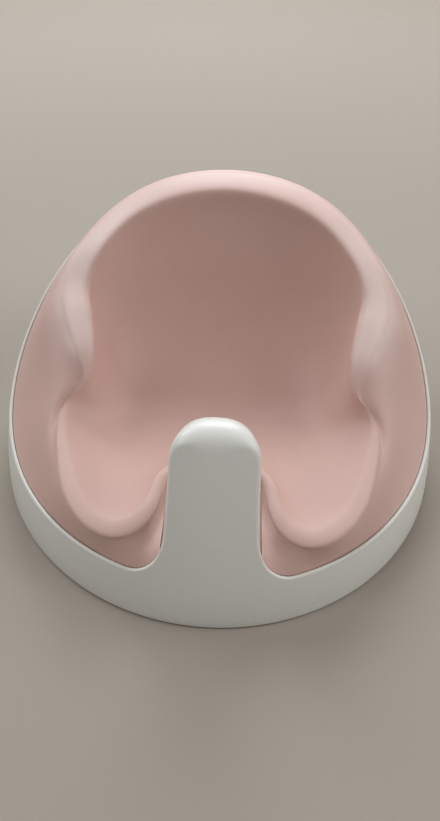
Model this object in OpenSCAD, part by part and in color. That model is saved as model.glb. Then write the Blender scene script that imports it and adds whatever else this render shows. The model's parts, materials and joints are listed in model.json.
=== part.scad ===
// Baby floor seat: a hard shell with a tall pommel at the front, and a soft moulded insert that
// lifts out. Millimetres. +Z is up, -Y is the front, and the origin is on the floor under the
// middle of the seat. The seat is the same on both sides of the plane x = 0.

/* [Shell] */
// Width of the shell at the floor
shell_w = 410; // [380:2:440]
// Depth of the shell at the floor, front to back
shell_d = 420; // [390:2:450]
// How far each side leans in over 200 mm of height
side_lean = 47; // [35:1:55]
// How far the front leans back over 200 mm of height
front_lean = 120; // [105:1:130]
// How far the back leans forward over 200 mm of height
back_lean = 21; // [12:1:30]
// Wall thickness of the shell
shell_wall = 2.4; // [2.2:0.1:2.8]
// Gap between the floor and the shell's lower edge
skirt_gap = 1.5; // [1:0.5:3]

/* [Rim] */
// Height of the rim at the front
rim_front = 36; // [34:1:42]
// How steeply the rim climbs towards the back, as rise over run
rim_climb = 0.74; // [0.6:0.01:0.8]
// Where the climb begins, front to back
climb_start = -5; // [-20:1:20]
// Depth of the rounded lip along the rim
lip_depth = 3; // [2.8:0.1:4]

/* [Pommel] */
// Width of the pommel
pommel_w = 70.5; // [64:0.5:74]
// Height of the pommel's top
pommel_h = 147; // [135:1:160]
// Height of the round top of the pommel's outline
pommel_arch = 28; // [22:1:34]
// How much wider the pommel is at its root than at its top, on each side
pommel_flare = 2.5; // [0:0.5:4]
// Radius between the pommel's sides and the rim
pommel_root = 30; // [24:1:36]
// Thickness of the pommel, front to back
pommel_depth = 24; // [20:1:28]

/* [Insert] */
// Gap between the insert and the parts round it
insert_gap = 1; // [0.6:0.1:2]
// Half the width of the notch that the pommel stands in
notch_half = 40; // [39.5:0.5:43]
// Depth of the notch, from the middle of the seat
notch_back = 91; // [88:1:94]
// Height of the seat's lowest point above the floor
pan_z = 40; // [36:1:44]

/* [Base] */
// Thickness of the base plate
plate_t = 4; // [3.5:0.5:5]
// Underside of the tub's floor
tub_z = 16; // [15:0.5:18]
// Wall thickness of the tub
tub_wall = 1.8; // [1.6:0.1:2]
// Diameter of a foot
foot_d = 34; // [26:1:40]

/* [Hidden] */

lean_height = 200;      // height over which the three leans are given
climb_blend = 50;       // length over which the rim turns from level to climbing
side_power = 1.5;       // how the sides and the back curve as they lean
front_power = 1.13;     // the front is nearly straight

white = [0.88, 0.88, 0.85];
blush = [0.80, 0.65, 0.61];
grey = [0.55, 0.55, 0.54];

// ---- small helpers ------------------------------------------------------------------------

function lerp(a, b, t) = a + (b - a) * t;
function unit(v) = v / norm(v);
function bez(a, b, c, d, t) =
    a * pow(1 - t, 3) + b * 3 * t * pow(1 - t, 2) + c * 3 * t * t * (1 - t) + d * pow(t, 3);

// A smooth curve through the rows of a list, read at a row number that need not be whole. It
// runs on past each end as its mirror image in the plane x = 0.
function flip(p) = [-p.x, p.y, p.z];
function row(list, i) = let (n = len(list) - 1)
    i < 0 ? flip(list[-i]) : i > n ? flip(list[2 * n - i]) : list[i];
function through(list, u) =
    let (i = min(floor(u), len(list) - 2), t = u - i,
         a = row(list, i - 1), b = row(list, i), c = row(list, i + 1), d = row(list, i + 2))
    b + 0.5 * t * (c - a + t * (2 * a - 5 * b + 4 * c - d + t * (3 * (b - c) + d - a)));

// Closed surface from rings of points: triangles between each ring and the next. With poles,
// the first and last rings are points. Without, the last ring joins the first.
module ringed(rings, poles) {
    n = len(rings[0]);
    m = len(rings);
    body = [for (r = rings) for (p = r) p];
    points = poles ? concat(body, [middle(rings[0]), middle(rings[m - 1])]) : body;
    bands = poles ? m - 1 : m;
    sides = [for (j = [0:bands - 1]) for (i = [0:n - 1])
        let (k = (j + 1) % m, a = j * n + i, b = j * n + (i + 1) % n,
             c = k * n + (i + 1) % n, d = k * n + i)
        for (f = [[a, b, c], [a, c, d]]) f];
    caps = poles ? [for (i = [0:n - 1]) let (e = (m - 1) * n)
        for (f = [[n * m, (i + 1) % n, i], [n * m + 1, e + i, e + (i + 1) % n]]) f] : [];
    polyhedron(points = points, faces = concat(sides, caps));
}
function middle(ring) = [for (p = ring) 1] * ring / len(ring);

// A list for the right half, from front to back, made into a whole ring
function mirrored(half) = let (n = len(half))
    concat(half, [for (i = [n - 2:-1:1]) [-half[i].x, half[i].y, half[i].z]]);

// ---- the shell's outer surface ------------------------------------------------------------

function rise(z, power) = pow(max(z - skirt_gap, 0) / lean_height, power);
function half_w(z) = shell_w / 2 - side_lean * rise(z, side_power);
function front_y(z) = -shell_d / 2 + front_lean * rise(z, front_power);
function back_y(z) = shell_d / 2 - back_lean * rise(z, side_power);
function mid_y(z) = (front_y(z) + back_y(z)) / 2;
function half_d(z) = (back_y(z) - front_y(z)) / 2;

// Point at angle a round the shell, counted from the front, and at height z
function dome(a, z) = [half_w(z) * sin(a), mid_y(z) - half_d(z) * cos(a), z];
function angle_of(p) = atan2(abs(p.x) / half_w(p.z), (mid_y(p.z) - p.y) / half_d(p.z));
function dome_front(x, z) = dome(asin(x / half_w(z)), z);
function dome_normal(a, z) = unit(cross(dome(a + 0.5, z) - dome(a - 0.5, z),
                                        dome(a, z + 0.5) - dome(a, z - 0.5)));
function level(v) = unit([v.x, v.y, 0]);

// ---- the rim --------------------------------------------------------------------------------

function climb(y) = rim_front
    + rim_climb * climb_blend * ln(1 + exp((y - climb_start) / climb_blend));
function rim_z(a, z = 60, n = 8) = n == 0 ? z : rim_z(a, climb(dome(a, z).y), n - 1);
function rim(a) = dome(a, rim_z(a));

// A line inside the rim, seen from above: its distance in from the rim's outer edge, and how
// far below the rim it runs
function inside_rim(a, in, down) =
    rim(a) - level(dome_normal(a, rim_z(a))) * in - [0, 0, down];

// ---- the pommel's outline, on the shell's front ---------------------------------------------

arch_power = 2.35;
arch_z = pommel_h - pommel_arch;
root_x = pommel_w / 2 + pommel_flare + pommel_root;
root_a = asin(root_x / half_w(rim_front));
root_z = rim(root_a).z;
side_z = root_z + pommel_root;

function outline_x(z) = z > arch_z
    ? pommel_w / 2 * pow(1 - pow((z - arch_z) / pommel_arch, arch_power), 1 / arch_power)
    : pommel_w / 2 + pommel_flare * pow((arch_z - z) / (arch_z - side_z), 1.5);

// The rim as it climbs over the pommel, from the top of the pommel at s = 0, down its side
// from s = 1 to 2, round its root from 2 to 3, and back along the side of the seat to s = 4
function edge(s) =
    s < 1 ? let (t = 90 * s, x = pommel_w / 2 * pow(sin(t), 2 / arch_power))
            dome_front(x, arch_z + pommel_arch * pow(cos(t), 2 / arch_power)) :
    s < 2 ? let (z = lerp(arch_z, side_z, s - 1)) dome_front(outline_x(z), z) :
    s < 3 ? let (t = 90 * (s - 2))
            dome_front(root_x - pommel_root * cos(t), root_z + pommel_root * (1 - sin(t))) :
    rim(lerp(root_a, 180, s - 3));

// How deep the edge returns into the seat, and how round it is
root_share = 0.35;      // share of the root over which the pommel's depth runs out
top_round = 22;
side_round = 5;
lip_round = 2;
function smooth(t) = let (c = max(0, min(1, t))) c * c * (3 - 2 * c);
function return_depth(s) = lerp(pommel_depth, lip_depth, smooth((s - 2 + 0.1) / root_share));
function edge_round(s) = lerp(lerp(top_round, side_round, smooth(s)), lip_round,
                              smooth((s - 2 + 0.1) / root_share));

// ---- outer shell ----------------------------------------------------------------------------

arch_steps = 10;
side_steps = 5;
root_steps = 8;
rim_steps = 34;
wall_rows = 9;
round_steps = 4;

edge_stops = concat(
    [for (i = [0:arch_steps - 1]) i / arch_steps],
    [for (i = [0:side_steps - 1]) 1 + i / side_steps],
    [for (i = [0:root_steps - 1]) 2 + i / root_steps],
    [for (i = [0:rim_steps]) 3 + i / rim_steps]);

// Angle at the floor of the column of points that ends at s on the edge
function foot_angle(s) = s < 3 ? root_a * s / 3 : lerp(root_a, 180, s - 3);

// One column: up the outside, round the edge, into the return, and down the inside
function shell_column(s) =
    let (p = edge(s), a = angle_of(p), n = dome_normal(a, p.z),
         along = unit(edge(min(4, s + 0.02)) - edge(max(0, s - 0.02))),
         out = unit(cross(n, along)),
         r = edge_round(s), w = shell_wall, d = return_depth(s),
         top = p - out * r, top_a = angle_of(top), hub = top - n * r)
    concat(
        [for (j = [0:wall_rows]) let (t = j / wall_rows)
            dome(lerp(foot_angle(s), top_a, t), lerp(skirt_gap, top.z, t))],
        [for (k = [1:round_steps]) let (t = 90 * k / round_steps)
            hub + out * r * sin(t) + n * r * cos(t)],
        [p - n * d, p - n * d - out * w, p - out * w - n * max(r, w)],
        [for (k = [round_steps - 1:-1:1]) let (t = 90 * k / round_steps, ri = max(r - w, 0.2))
            top - n * max(r, w) + out * ri * sin(t) + n * ri * cos(t)],
        [for (j = [wall_rows:-1:0]) let (t = j / wall_rows,
            b = lerp(foot_angle(s), top_a, t), z = lerp(skirt_gap, top.z, t),
            q = dome(b, z) - dome_normal(b, max(z, 3)) * w)
            j == 0 ? [q.x, q.y, skirt_gap] : q]);

module outer_shell() {
    half = [for (s = edge_stops) shell_column(s)];
    n = len(half);
    rings = concat(half, [for (i = [n - 2:-1:1]) [for (p = half[i]) [-p.x, p.y, p.z]]]);
    color(white) difference() {
        union() {
            ringed(rings, false);
            for (side = [-1, 1]) on_pommel(side * screw_x, screw_z, shell_wall - 0.8)
                cylinder(d = 8, h = pommel_depth - back_t - shell_wall + 0.6, $fn = 32);
            for (a = lugs) let (p = lug_at(a), n = dome_normal(a, p.z))
                translate([p.x, p.y, plate_top]) rotate([0, 0, atan2(n.y, n.x)])
                    translate([-lug_size / 2, -lug_size / 2, 0])
                        cube([lug_size, lug_size, lug_h]);
        }
        for (side = [-1, 1]) on_pommel(side * screw_x, screw_z, 9)
            cylinder(d = pilot_d, h = pommel_depth, $fn = 24);
        for (a = lugs) let (p = lug_at(a)) translate([p.x, p.y, plate_top - 1])
            cylinder(d = pilot_d, h = lug_h + 2, $fn = 24);
    }
}

// ---- insert ---------------------------------------------------------------------------------

// Stations round the right half of the insert: 0 is the middle of the notch's back, 1 to 4 go
// round the notch, 5 to 9 round the leg well, 10 and 11 are the step up to the arm, 12 to 15 the
// arm and 16 to 18 the back. These are the outer and the inner edge of the roll along its top.
shoulder_out = [
    [0, -86, 58], [26, -89, 59], [41, -111, 60], [44.5, -136, 59], [57, -160, 58],
    [79, -168, 57.5], [103, -157, 60], [122, -132, 64.5], [133.5, -98, 70.5], [138.5, -68, 76],
    [133.5, -48, 82.5], [119.5, -34, 97], [129, -12, 114], [143, 16, 126], [150, 47, 134],
    [138, 83, 154], [105, 125, 176], [59, 154, 189.5], [0, 165, 193.5]];
shoulder_in = [
    [0, -72, 58], [24, -78, 58], [49, -104, 60], [56, -128, 60], [67, -144, 60.5],
    [80, -150, 61], [97, -140, 63], [111, -120, 66.5], [123, -93, 71.5], [131, -66, 76.5],
    [129.5, -47, 82], [114.5, -31, 95], [112.5, -9, 113], [117, 17, 128], [122, 42, 140],
    [113, 66, 161], [87, 96, 179], [49, 116, 190], [0, 125, 193.5]];
last = len(shoulder_out) - 1;

// Angle round the rim of the foot of each station, and angle round the pan
function rim_turn(u) = lookup(u, [[4.5, corner_a], [5, 21], [6, 31], [7, 42], [8, 52], [9, 63],
    [10, 71], [11, 76], [12, 83], [13, 92], [14, 102], [15, 116], [16, 134], [17, 156], [18, 180]]);
function pan_turn(u) = lookup(u, [[0, -90], [1, -76], [2, -57], [3, -52], [4, -46], [5, -41],
    [6, -34], [7, -27], [8, -19], [9, -11], [10, -6], [11, -3], [12, 2], [13, 9], [14, 18],
    [15, 30], [16, 46], [17, 67], [18, 90]]);

// How far the roll stands up between its edges
function crown(u) =
    lookup(u, [[0, 2.5], [5, 2], [7, 1], [9, 0.4], [11, 0.4], [12, 2.5], [14, 5], [18, 4.5]]);

foot_in = lip_depth + insert_gap;        // the insert at the rim, in from the rim's outer edge
wall_in = foot_in + 1.4;                // and below the rim, where it stands in the tub
foam_floor = tub_z + tub_wall + 0.6;

// The notch's front corner is an arc from its side to the line of the rim
corner_a = 17.4;
corner_n = level(dome_normal(corner_a, rim_z(corner_a)));
corner_p = inside_rim(corner_a, wall_in, 0);
corner_r = (corner_p.x - notch_half) / (1 + corner_n.x);
corner_y = corner_p.y - corner_n.y * corner_r;
corner_end = 360 + atan2(corner_n.y, corner_n.x);
notch_r = 10;

// The insert's outline seen from above, at a distance inside the rim and below it
function outline(u, in, down) =
    u < 1 ? [(notch_half - notch_r) * u, -notch_back, corner_p.z - down] :
    u < 1.6 ? let (t = 90 * (u - 1) / 0.6)
        [notch_half - notch_r * (1 - sin(t)), -notch_back - notch_r * (1 - cos(t)),
         corner_p.z - down] :
    u < 3.4 ? [notch_half, lerp(-notch_back - notch_r, corner_y, (u - 1.6) / 1.8),
               corner_p.z - down] :
    u < 4.5 ? let (t = lerp(180, corner_end, (u - 3.4) / 1.1))
        [notch_half + corner_r * (1 + cos(t)), corner_y + corner_r * sin(t),
         corner_p.z - down] :
    inside_rim(rim_turn(u), in, down);
function inward(u) =
    let (t = level(outline(min(last, u + 0.02), wall_in, 0)
                   - outline(max(0, u - 0.02), wall_in, 0))) [-t.y, t.x, 0];

// The insert's lower edge is round, less so along the notch
function sole_r(u) = lookup(u, [[0, 5], [3.5, 5], [5, 10], [8, 13], [12, 22], [18, 22]]);
function sole(u, turn) =
    let (p = outline(u, wall_in, 0) + inward(u) * sole_r(u) * (1 - sin(turn)))
    [p.x, p.y, foam_floor + sole_r(u) * (1 - cos(turn))];

pan_w = 62;     // half width and half depth of the flat of the pan, and where its middle is
pan_d = 34;
pan_y = -22;
function pan(u, size, z) =
    [pan_w * size * cos(pan_turn(u)), pan_y + pan_d * size * sin(pan_turn(u)), z];

// A curve between two points that share its run and its fall differently
function sweep(p, q, a, b, t) =
    bez(p, [lerp(p.x, q.x, a[0]), lerp(p.y, q.y, a[0]), lerp(p.z, q.z, a[1])],
        [lerp(p.x, q.x, b[0]), lerp(p.y, q.y, b[0]), lerp(p.z, q.z, b[1])], q, t);
function mix(u, rows) = [for (k = [1:4]) lookup(u, [for (r = rows) [r[0], r[k]]])];

function flank(u, t) = let (k = mix(u, [
        [0, 0.3, 0.3, 0.7, 0.7], [6, 0.33, 0.32, 0.72, 0.68], [9, 0.3, 0.3, 0.78, 0.66],
        [11, 0.3, 0.3, 0.75, 0.66], [13, 0.22, 0.32, 0.62, 0.78], [15, 0.2, 0.33, 0.6, 0.76],
        [17, 0.05, 0.4, 0.4, 0.85], [18, 0.05, 0.4, 0.4, 0.9]]))
    sweep(outline(u, foot_in, 2), through(shoulder_out, u), [k[0], k[1]], [k[2], k[3]], t);
function roll(u, t) = let (p = through(shoulder_out, u), q = through(shoulder_in, u),
                           up = [0, 0, crown(u) / 0.8])
    bez(p, lerp(p, q, 0.2) + up, lerp(p, q, 0.85) + up, q, t);
function bowl(u, t) = let (k = mix(u, [
        [0, 0.35, 0.35, 0.7, 1], [2, 0.3, 0.35, 0.65, 1], [5, 0.15, 0.35, 0.55, 1],
        [9, 0.18, 0.36, 0.55, 1], [12, 0.06, 0.5, 0.36, 1], [16, 0.1, 0.5, 0.42, 1],
        [18, 0.12, 0.5, 0.5, 0.97]]))
    sweep(through(shoulder_in, u), pan(u, 1, pan_z + 2), [k[0], k[1]], [k[2], k[3]], t);

insert_steps = 30;
module seat_insert() {
    stops = [for (i = [0:insert_steps]) last * i / insert_steps];
    rings = concat(
        [[for (u = stops) pan(u, 0.5, pan_z + 0.4)], [for (u = stops) pan(u, 1, pan_z + 2)]],
        [for (t = [0.84, 0.66, 0.48, 0.3, 0.14]) [for (u = stops) bowl(u, t)]],
        [for (t = [1, 0.65, 0.35]) [for (u = stops) roll(u, t)]],
        [for (t = [1, 0.8, 0.55, 0.3]) [for (u = stops) flank(u, t)]],
        [[for (u = stops) outline(u, foot_in, 2)], [for (u = stops) outline(u, wall_in, 4)]],
        [for (turn = [90, 45, 0]) [for (u = stops) sole(u, turn)]],
        [[for (u = stops) pan(u, 1, foam_floor)]]);
    color(blush) ringed([for (r = rings) mirrored(r)], true);
}

// ---- tub ------------------------------------------------------------------------------------

tub_in = shell_wall + 0.4;               // outer face, in from the rim's outer edge
tub_steps = 30;
plate_z = skirt_gap + 1;
plate_top = plate_z + plate_t;

// The tub's lower edge is round, less so at the front where it is shallow
function tub_r(a) = lookup(a, [[0, 7], [50, 9], [90, 18], [180, 18]]);
function tub_foot(a, in, r, floor_z, turn) =
    let (p = inside_rim(a, in + r * (1 - sin(turn)), 0))
    [p.x, p.y, floor_z + r * (1 - cos(turn))];

tub_bosses = [for (side = [-1, 1]) for (p = [[92, -112], [125, 15], [84, 138]]) [side * p.x, p.y]];
boss_d = 10;
pilot_d = 3.4;

module seat_tub() {
    turns = [for (i = [0:tub_steps]) 180 * i / tub_steps];
    t = tub_wall;
    rings = concat(
        [for (k = [0, 45, 90]) [for (a = turns) tub_foot(a, tub_in + t, tub_r(a), tub_z + t, k)]],
        [[for (a = turns) inside_rim(a, tub_in + t, 5)], [for (a = turns) inside_rim(a, tub_in, 5)]],
        [for (k = [90, 45, 0]) [for (a = turns) tub_foot(a, tub_in, tub_r(a) + t, tub_z, k)]]);
    color(grey) difference() {
        union() {
            ringed([for (r = rings) mirrored(r)], true);
            for (p = tub_bosses) translate([p.x, p.y, plate_top])
                cylinder(d = boss_d, h = tub_z - plate_top + 0.6, $fn = 32);
        }
        for (p = tub_bosses) translate([p.x, p.y, plate_top - 1])
            cylinder(d = pilot_d, h = tub_z - plate_top, $fn = 24);
    }
}

// ---- pommel back ----------------------------------------------------------------------------

back_t = 2.5;
back_inset = shell_wall + 0.6;
back_low = 36;                           // where it ends in front of the tub's floor
screw_z = 62;
screw_x = 13;
function back_half(z) = z > arch_z
    ? (pommel_w / 2 - back_inset)
      * pow(1 - pow(min(1, (z - arch_z) / (pommel_arch - back_inset)), arch_power), 1 / arch_power)
    : outline_x(max(z, side_z)) - back_inset;
function behind(x, z, depth) = let (p = dome_front(x, z))
    p - dome_normal(angle_of(p) * (x < 0 ? -1 : 1), z) * depth;

// A place on the pommel's middle, with +Z pointing back through it
module on_pommel(x, z, depth) {
    n = dome_normal(0, z);
    translate(dome_front(x, z) - n * depth) rotate([-90 - asin(n.z), 0, 0]) children();
}

module pommel_back() {
    steps = [for (i = [0:7]) lerp(back_low, arch_z, i / 7)];
    arch = [for (i = [1:6]) arch_z + (pommel_arch - back_inset) * sin(90 * i / 6.4)];
    rows = concat(steps, arch);
    m = len(rows);
    across = [for (i = [-4:4]) i / 4];
    rings = [for (j = [m - 1:-1:0]) let (z = rows[j], w = back_half(z)) concat(
        [for (f = across) behind(w * f, z, pommel_depth - back_t)],
        [for (i = [8:-1:0]) behind(w * across[i], z, pommel_depth)])];
    color(white) difference() {
        ringed(rings, true);
        for (side = [-1, 1]) on_pommel(side * screw_x, screw_z, pommel_depth) {
            translate([0, 0, -back_t - 3]) cylinder(d = 3.6, h = 8, $fn = 24);
            translate([0, 0, -2.1]) cylinder(d1 = 3.8, d2 = 7.4, h = 2.5, $fn = 32);
        }
    }
}

module screw(d, l, head, sunk) {
    difference() {
        union() {
            cylinder(d = d, h = l, $fn = 24);
            translate([0, 0, -sunk]) cylinder(d1 = head, d2 = d, h = sunk + 0.6, $fn = 32);
        }
        translate([0, 0, -sunk]) for (q = [0, 90]) rotate([0, 0, q])
            cube([head * 0.55, 0.9, 1.6], center = true);
    }
}

module pommel_screws() {
    color(grey) for (side = [-1, 1]) on_pommel(side * screw_x, screw_z, pommel_depth - 1.7)
        rotate([180, 0, 0]) screw(3, 12, 6, 1.6);
}

// ---- base -----------------------------------------------------------------------------------

lugs = [50, 130, 230, 310];              // angles of the shell's lugs
lug_in = 9;
lug_size = 16;
lug_h = 5;
function lug_at(a) = let (p = dome(a, plate_top + lug_h + 0.3)) p - level(dome_normal(a, p.z)) * lug_in;
plate_spots = concat(tub_bosses, [for (a = lugs) let (p = lug_at(a)) [p.x, p.y]]);
feet = [[-128, -100], [128, -100], [-128, 110], [128, 110]];

module base_plate() {
    rim_line = [for (i = [0:95]) let (a = i * 360 / 96, p = dome(a, plate_top))
        p - level(dome_normal(a, plate_top)) * (shell_wall + 1.5)];
    color(grey) translate([0, 0, plate_z]) difference() {
        linear_extrude(plate_t) polygon([for (p = rim_line) [p.x, p.y]]);
        for (p = plate_spots) translate([p.x, p.y, -1]) {
            cylinder(d = 3.8, h = plate_t + 2, $fn = 24);
            cylinder(d1 = 11, d2 = 3.8, h = 4, $fn = 32);
        }
        for (p = feet) translate([p.x, p.y, -1]) cylinder(d = foot_d + 0.8, h = 3, $fn = 64);
    }
}

module base_screws() {
    color(grey) for (p = plate_spots) translate([p.x, p.y, plate_z + 2.4])
        screw(3, 8.4, 7, 2.2);
}

module foot(p) {
    r = foot_d / 2;
    color(grey) translate([p.x, p.y, 0]) rotate_extrude($fn = 64) polygon([
        [0, 0.8], [5, 0.8], [5, 0], [8, 0], [8, 0.8], [11, 0.8], [11, 0],
        [r - 1, 0], [r, 1], [r, plate_z + 2], [0, plate_z + 2]]);
}
module foot_front_left() { foot(feet[0]); }
module foot_front_right() { foot(feet[1]); }
module foot_rear_left() { foot(feet[2]); }
module foot_rear_right() { foot(feet[3]); }

outer_shell();
pommel_back();
pommel_screws();
seat_tub();
seat_insert();
base_plate();
base_screws();
foot_front_left();
foot_front_right();
foot_rear_left();
foot_rear_right();
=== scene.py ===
"""Baby floor seat: a hard white shell with a tall pommel, and a soft pink insert that lifts out.

The shapes are worked out in millimetres and made in metres. +Z is up, -Y is the front, and the
seat is the same on both sides of the plane x = 0.
"""

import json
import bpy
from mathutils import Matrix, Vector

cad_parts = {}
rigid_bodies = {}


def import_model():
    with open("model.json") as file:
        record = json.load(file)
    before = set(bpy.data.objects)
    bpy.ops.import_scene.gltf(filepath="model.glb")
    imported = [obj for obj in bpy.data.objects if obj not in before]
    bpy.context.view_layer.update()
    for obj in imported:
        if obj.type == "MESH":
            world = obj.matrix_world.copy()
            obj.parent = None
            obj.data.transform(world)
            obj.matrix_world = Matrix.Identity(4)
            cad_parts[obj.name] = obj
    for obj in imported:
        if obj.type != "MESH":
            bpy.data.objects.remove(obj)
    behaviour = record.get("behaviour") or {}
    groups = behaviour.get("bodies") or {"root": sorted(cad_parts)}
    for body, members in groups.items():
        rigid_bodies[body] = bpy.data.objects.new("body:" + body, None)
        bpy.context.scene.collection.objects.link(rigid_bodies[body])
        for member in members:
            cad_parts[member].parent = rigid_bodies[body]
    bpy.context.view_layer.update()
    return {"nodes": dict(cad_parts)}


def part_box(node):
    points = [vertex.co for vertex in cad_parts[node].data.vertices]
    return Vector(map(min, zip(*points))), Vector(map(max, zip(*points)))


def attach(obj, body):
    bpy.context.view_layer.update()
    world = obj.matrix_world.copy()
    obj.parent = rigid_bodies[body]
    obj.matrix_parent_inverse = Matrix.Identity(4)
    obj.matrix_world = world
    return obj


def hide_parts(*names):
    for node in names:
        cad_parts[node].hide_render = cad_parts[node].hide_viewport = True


bl_info = {
    "name": "Baby Floor Seat",
    "version": (1, 0, 0),
    "blender": (4, 5, 0),
    "location": "3D View > Sidebar > Floor Seat",
    "description": "Builds the shell, the soft insert and the fittings of a baby floor seat",
    "category": "Object",
}

from functools import partial
from math import cos, pi, radians, sin
from types import SimpleNamespace

import bmesh
import bpy
import numpy as np
from bpy.props import FloatProperty, FloatVectorProperty, PointerProperty
from mathutils import Matrix, Vector

for spare in list(bpy.data.objects):
    bpy.data.objects.remove(spare)
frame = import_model()
shell_low, shell_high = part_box("outer_shell")


# ---- the sizes and colours that a user would change ----

def number(name, description, default, low=0.0, high=1.0, **kind):
    return FloatProperty(name=name, description=description, default=default, min=low, max=high, **kind)


def paint(name, description, default):
    return FloatVectorProperty(name=name, description=description, default=default, min=0.0,
                               max=1.0, size=3, subtype="COLOR")


length = partial(number, unit="LENGTH", subtype="DISTANCE")
share = partial(number, subtype="FACTOR")
power = partial(number, high=500.0, unit="POWER")


class FloorSeatShell(bpy.types.PropertyGroup):
    """Sizes and colours of the hard shell"""
    width: length("Width", "Width of the shell at the floor", shell_high.x - shell_low.x)
    depth: length("Depth", "Depth of the shell at the floor", shell_high.y - shell_low.y)
    side_lean: length("Side lean", "How far each side leans in over 200 mm", 0.047)
    front_lean: length("Front lean", "How far the front leans back over 200 mm", 0.12)
    back_lean: length("Back lean", "How far the back leans forward over 200 mm", 0.021)
    wall: length("Wall", "Wall thickness", 0.0024, 0.001, 0.006)
    gap: length("Skirt gap", "Gap between the floor and the lower edge", shell_low.z)
    rim: length("Front rim", "Height of the rim at the front", 0.036)
    climb: number("Climb", "How steeply the rim climbs to the back, rise over run", 0.74, 0.3, 1.2)
    lip: length("Lip", "Depth of the rounded lip along the rim", 0.003, 0.002, 0.01)
    colour: paint("Colour", "Colour of the white plastic", (0.87, 0.87, 0.815))
    scuffs: share("Scuffs", "How scuffed and dusty it is", 0.35)


class FloorSeatPommel(bpy.types.PropertyGroup):
    """Sizes of the pommel"""
    width: length("Width", "Width of the pommel", 0.0705)
    height: length("Height", "Height of its top above the floor", 0.147)
    arch: length("Arch", "Height of its round top", 0.028)
    flare: length("Flare", "How much wider its root is, on each side", 0.0025)
    root: length("Root", "Radius between its sides and the rim", 0.03)
    depth: length("Depth", "Thickness, front to back", 0.024)
    cover: length("Cover", "Thickness of the back cover", 0.0025, 0.001, 0.006)


class FloorSeatFoam(bpy.types.PropertyGroup):
    """Sizes and colours of the soft insert"""
    gap: length("Gap", "Gap between the insert and the parts round it", 0.001, 0.0, 0.005)
    notch: length("Notch", "Half the width of the notch round the pommel", 0.0393)
    notch_back: length("Notch depth", "Back of the notch, from the seat's middle", 0.091)
    pan: length("Pan", "Height of the lowest point of the seat", 0.04)
    grain: length("Grain", "Size of the grain in the foam's skin", 0.0012, 0.0003, 0.01)
    colour: paint("Colour", "Colour of the foam's skin", (0.735, 0.49, 0.43))
    # The rubbed colour is also a painted highlight: it lightens the roll's top where the light falls, as
    # well as where it is rubbed.
    rubbed: paint("Rubbed colour", "Colour where hands and legs polish it", (0.93, 0.72, 0.665))


class FloorSeatBase(bpy.types.PropertyGroup):
    """Sizes and colours of the tub, the base plate and the feet"""
    tub_floor: length("Tub floor", "Height of the tub's underside", 0.016)
    tub_wall: length("Tub wall", "Wall thickness of the tub", 0.0018, 0.001, 0.005)
    tub_colour: paint("Tub", "Colour of the tub", (0.50, 0.49, 0.47))
    plate_colour: paint("Plate", "Colour of the base plate", (0.44, 0.44, 0.43))
    rubber: paint("Feet", "Colour of the rubber feet", (0.045, 0.045, 0.047))
    steel: paint("Screws", "Colour of the screws", (0.58, 0.57, 0.55))


class FloorSeatStage(bpy.types.PropertyGroup):
    """Floor, lights and camera"""
    floor: paint("Floor", "Colour of the floor", (0.44, 0.39, 0.335))
    window: power("Window", "Strength of the soft, low light from behind", 38.0)
    high: power("High window", "Strength of the light above it", 30.0)
    left: power("Left", "Strength of the high light behind the left side", 33.0)
    right: power("Right", "Strength of the light from the right", 21.0)
    over_left: power("Over left", "Strength of the high light on the left", 18.0)
    over_right: power("Over right", "Strength of the high light on the right", 12.0)
    front: power("Front", "Strength of the soft light from the front", 6.5)
    sky: share("Sky", "Strength of the even light from all round", 0.03, high=2.0)
    lens: number("Lens", "Focal length in mm on a 36 mm sensor", 28.94, 10.0, 200.0)


# ---- small helpers ----

def lerp(a, b, t):
    return a + (b - a) * t


def smooth(t):
    t = np.clip(t, 0, 1)
    return t * t * (3 - 2 * t)


def stacked(x, y, z):
    return np.stack(np.broadcast_arrays(np.asarray(x, float), y, z), -1)


def circle(radius, height, steps):
    turn = np.linspace(0, 2 * pi, steps, endpoint=False)
    return stacked(radius * np.cos(turn), radius * np.sin(turn), height)


def share_of(t, start, end):
    """How much of the way from the start to the end has been gone, from 0 to 1."""
    return np.clip((t - start) / (end - start), 0, 1)


def unit(v):
    return v / np.linalg.norm(v, axis=-1, keepdims=True)


def level(v):
    return unit(v * (1, 1, 0))


def bezier(a, b, c, d, t):
    return a * (1 - t) ** 3 + b * 3 * t * (1 - t) ** 2 + c * 3 * t * t * (1 - t) + d * t ** 3


def mirrored(half, flip=(-1, 1, 1)):
    """A line down the right half, from front to back, made into a whole ring."""
    return np.concatenate([half, half[-2:0:-1] * flip])


all_round = partial(mirrored, flip=1)       # the same for plain values down the right half


def rounded(degrees):
    """How far in and how far up a quarter round of radius 1 is, at an angle up it."""
    t = radians(degrees)
    return 1 - sin(t), 1 - cos(t)


def window(t, start, rise, end, fall):
    """0 up to the start and from the end on, and 1 between them."""
    return smooth((t - start) / rise) * smooth((end - t) / fall)


def hump(t, peak):
    """0 at the start and 1 at the peak, fading away past it."""
    return t / peak * np.exp(1 - t / peak)


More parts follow.
